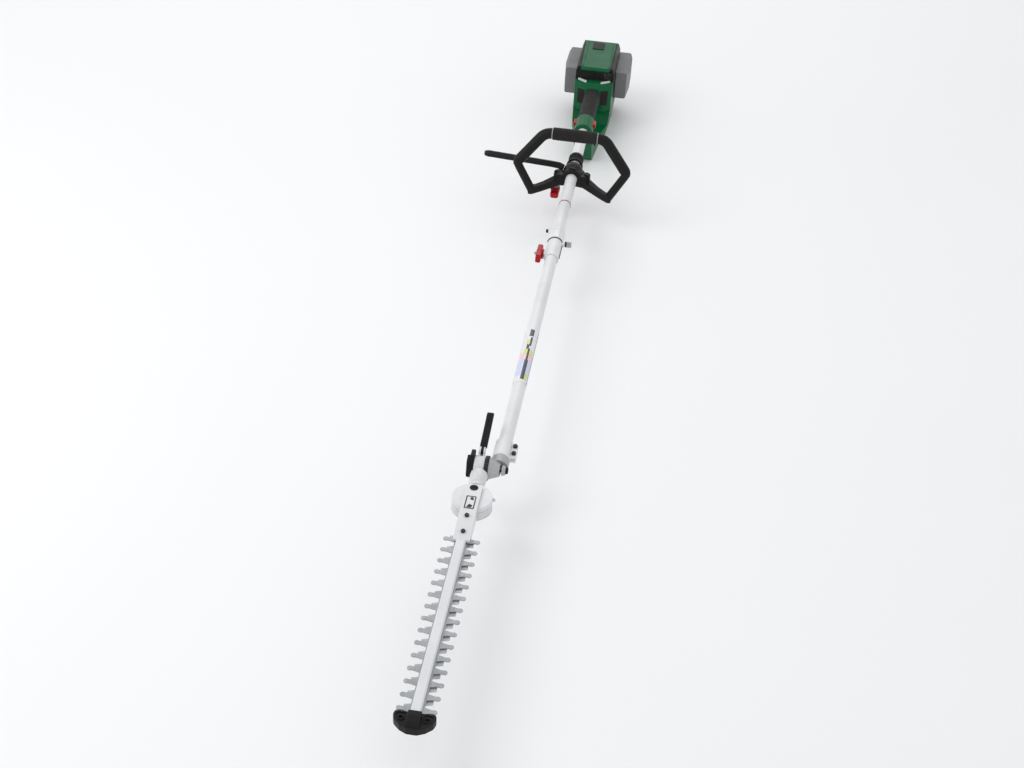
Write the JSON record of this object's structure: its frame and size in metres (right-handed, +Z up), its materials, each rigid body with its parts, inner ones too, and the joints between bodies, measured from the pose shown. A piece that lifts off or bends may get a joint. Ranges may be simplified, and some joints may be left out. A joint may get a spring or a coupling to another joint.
{
  "type": "hedge trimmer",
  "caption": "Long-reach cordless hedge trimmer with a tilting double-sided cutter bar, split shaft, loop handle and D-handle power head.",
  "frame": {"origin": "middle of the flat underside of the D-handle's foot", "axes": "+Z up, square to the cutter bar; the shaft runs along Y with the cutter towards -Y and the power head towards +Y; +X is the tool's side to the right when looking along +Y"},
  "size_m": [0.358, 2.3841, 0.2234],
  "materials": {
    "white_paint": "smooth off-white powder coat",
    "cast_metal": "light grey sand-blasted die casting",
    "bare_casting": "bare silver casting",
    "blade_steel": "ground blade steel",
    "inner_steel": "machined steel",
    "dark_steel": "black oxide steel",
    "black_plastic": "fine-grained black moulded plastic",
    "black_metal": "black powder-coated steel",
    "soft_grip": "soft-touch black grip",
    "green_plastic": "deep green moulded plastic",
    "red_plastic": "red moulded plastic",
    "battery_shell": "mid grey moulded plastic",
    "motor_winding": "lacquered copper windings on a laminated core",
    "circuit_board": "green circuit board",
    "label_film": "printed film with plain colour blocks"
  },
  "bodies": {
    "shaft_frame": {"lower_tube": "white_paint", "upper_tube": "white_paint", "elbow_casting": "cast_metal", "tube_clamp": "cast_metal", "coupling_sleeve": "cast_metal", "motor_can": "bare_casting", "index_plate": "dark_steel", "clamp_bolt_front": "dark_steel", "clamp_bolt_rear": "dark_steel", "coupling_bolt": "dark_steel", "elbow_cap": "black_plastic", "carry_band": "black_plastic", "motor_case_left": "black_plastic", "motor_case_right": "black_plastic", "badge_plate": "black_plastic", "carry_eye": "black_metal", "grip_sleeve": "soft_grip", "handle_shell_left": "green_plastic", "handle_shell_right": "green_plastic", "top_cover": "green_plastic", "marker_ring": "red_plastic", "motor_stator": "motor_winding", "control_board": "circuit_board", "shaft_label": "label_film"},
    "cutter_head": {"cover_bar": "white_paint", "comb_plate": "blade_steel", "backing_bar": "dark_steel", "tip_guard": "black_plastic", "support_plate": "white_paint", "plate_screw_front": "dark_steel", "plate_screw_rear": "dark_steel", "gearbox_upper": "white_paint", "gearbox_lower": "cast_metal", "swivel_arm": "bare_casting", "latch_cover": "black_plastic"},
    "cutter": {"cutter_blade": "blade_steel"},
    "crank": {"crank_gear": "inner_steel"},
    "rod": {"connecting_rod": "inner_steel"},
    "neck_drive": {"neck_shaft": "inner_steel"},
    "cross_drive": {"cross_shaft": "inner_steel"},
    "drive_line": {"lower_drive_shaft": "inner_steel", "shaft_coupler": "dark_steel", "upper_drive_shaft": "inner_steel", "motor_rotor": "inner_steel"},
    "lever": {"release_lever": "black_plastic"},
    "pin": {"index_pin": "dark_steel"},
    "coupling_wing": {"coupling_knob": "red_plastic"},
    "coupling_lock": {"coupling_pin": "bare_casting"},
    "loop": {"handle_clamp_top": "black_plastic", "handle_bracket": "black_plastic", "loop_handle": "black_plastic", "loop_grip": "soft_grip", "barrier_bar": "black_metal", "handle_bolt": "dark_steel"},
    "loop_wing": {"handle_knob": "red_plastic"},
    "trigger_blade": {"trigger": "black_plastic"},
    "button_left": {"lock_button_left": "red_plastic"},
    "button_right": {"lock_button_right": "red_plastic"},
    "pack_left": {"battery_left": "battery_shell"},
    "pack_right": {"battery_right": "battery_shell"}
  },
  "joints": [
    {"name": "drive_spin", "type": "hinge", "parent": "shaft_frame", "child": "drive_line", "pos_m": [0, -0.341, 0.104], "axis": [0, 1, 0], "continuous": true},
    {"name": "head_tilt", "type": "hinge", "parent": "shaft_frame", "child": "cutter_head", "pos_m": [-0.031, -1.538, 0.104], "axis": [1, 0, 0], "range_deg": [-45, 90]},
    {"name": "cross_spin", "type": "hinge", "parent": "cutter_head", "child": "cross_drive", "pos_m": [-0.015, -1.538, 0.104], "axis": [1, 0, 0], "continuous": true},
    {"name": "neck_spin", "type": "hinge", "parent": "cutter_head", "child": "neck_drive", "pos_m": [-0.031, -1.578, 0.104], "axis": [0, 1, 0], "continuous": true},
    {"name": "crank_spin", "type": "hinge", "parent": "cutter_head", "child": "crank", "pos_m": [-0.031, -1.636, 0.094], "axis": [0, 0, 1], "continuous": true},
    {"name": "rod_swing", "type": "hinge", "parent": "crank", "child": "rod", "pos_m": [-0.031, -1.627, 0.099], "axis": [0, 0, 1], "continuous": true},
    {"name": "cutter_slide", "type": "slide", "parent": "cutter_head", "child": "cutter", "axis": [0, 1, 0], "range_m": [-0.009, 0.009]},
    {"name": "lever_swing", "type": "hinge", "parent": "cutter_head", "child": "lever", "pos_m": [-0.031, -1.515, 0.123], "axis": [1, 0, 0], "range_deg": [0, 35], "stiffness_Nm_per_rad": 0.3, "springref_deg": -20.05},
    {"name": "pin_slide", "type": "slide", "parent": "cutter_head", "child": "pin", "axis": [-1, 0, 0], "range_m": [0, 0.005]},
    {"name": "coupling_knob_turn", "type": "hinge", "parent": "shaft_frame", "child": "coupling_wing", "pos_m": [-0.03, -0.787, 0.104], "axis": [1, 0, 0], "range_deg": [0, 720]},
    {"name": "coupling_pin_pull", "type": "slide", "parent": "shaft_frame", "child": "coupling_lock", "axis": [1, 0, 0], "range_m": [0, 0.005], "stiffness_N_per_m": 1200, "springref_m": -0.003},
    {"name": "loop_slide", "type": "slide", "parent": "shaft_frame", "child": "loop", "axis": [0, 1, 0], "range_m": [-0.115, 0]},
    {"name": "loop_knob_turn", "type": "hinge", "parent": "loop", "child": "loop_wing", "pos_m": [-0.036, -0.433, 0.064], "axis": [0, 0, 1], "range_deg": [0, 720]},
    {"name": "trigger_pull", "type": "hinge", "parent": "shaft_frame", "child": "trigger_blade", "pos_m": [0, -0.094, 0.092], "axis": [-1, 0, 0], "range_deg": [0, 10], "stiffness_Nm_per_rad": 0.6, "springref_deg": -11.46},
    {"name": "button_left_press", "type": "slide", "parent": "shaft_frame", "child": "button_left", "axis": [1, 0, 0], "range_m": [0, 0.003], "stiffness_N_per_m": 800, "springref_m": -0.002},
    {"name": "button_right_press", "type": "slide", "parent": "shaft_frame", "child": "button_right", "axis": [-1, 0, 0], "range_m": [0, 0.003], "stiffness_N_per_m": 800, "springref_m": -0.002},
    {"name": "pack_left_slide", "type": "slide", "parent": "shaft_frame", "child": "pack_left", "axis": [0, 1, 0], "range_m": [0, 0.13]},
    {"name": "pack_right_slide", "type": "slide", "parent": "shaft_frame", "child": "pack_right", "axis": [0, 1, 0], "range_m": [0, 0.13]}
  ],
  "couplings": [
    {"joint": "cross_spin", "follows": "drive_spin", "ratio": 1},
    {"joint": "neck_spin", "follows": "drive_spin", "ratio": 1},
    {"joint": "crank_spin", "follows": "drive_spin", "ratio": 0.33333},
    {"joint": "rod_swing", "follows": "drive_spin", "ratio": -0.33333},
    {"joint": "pin_slide", "follows": "lever_swing", "m_per_rad": 0.0081}
  ]
}
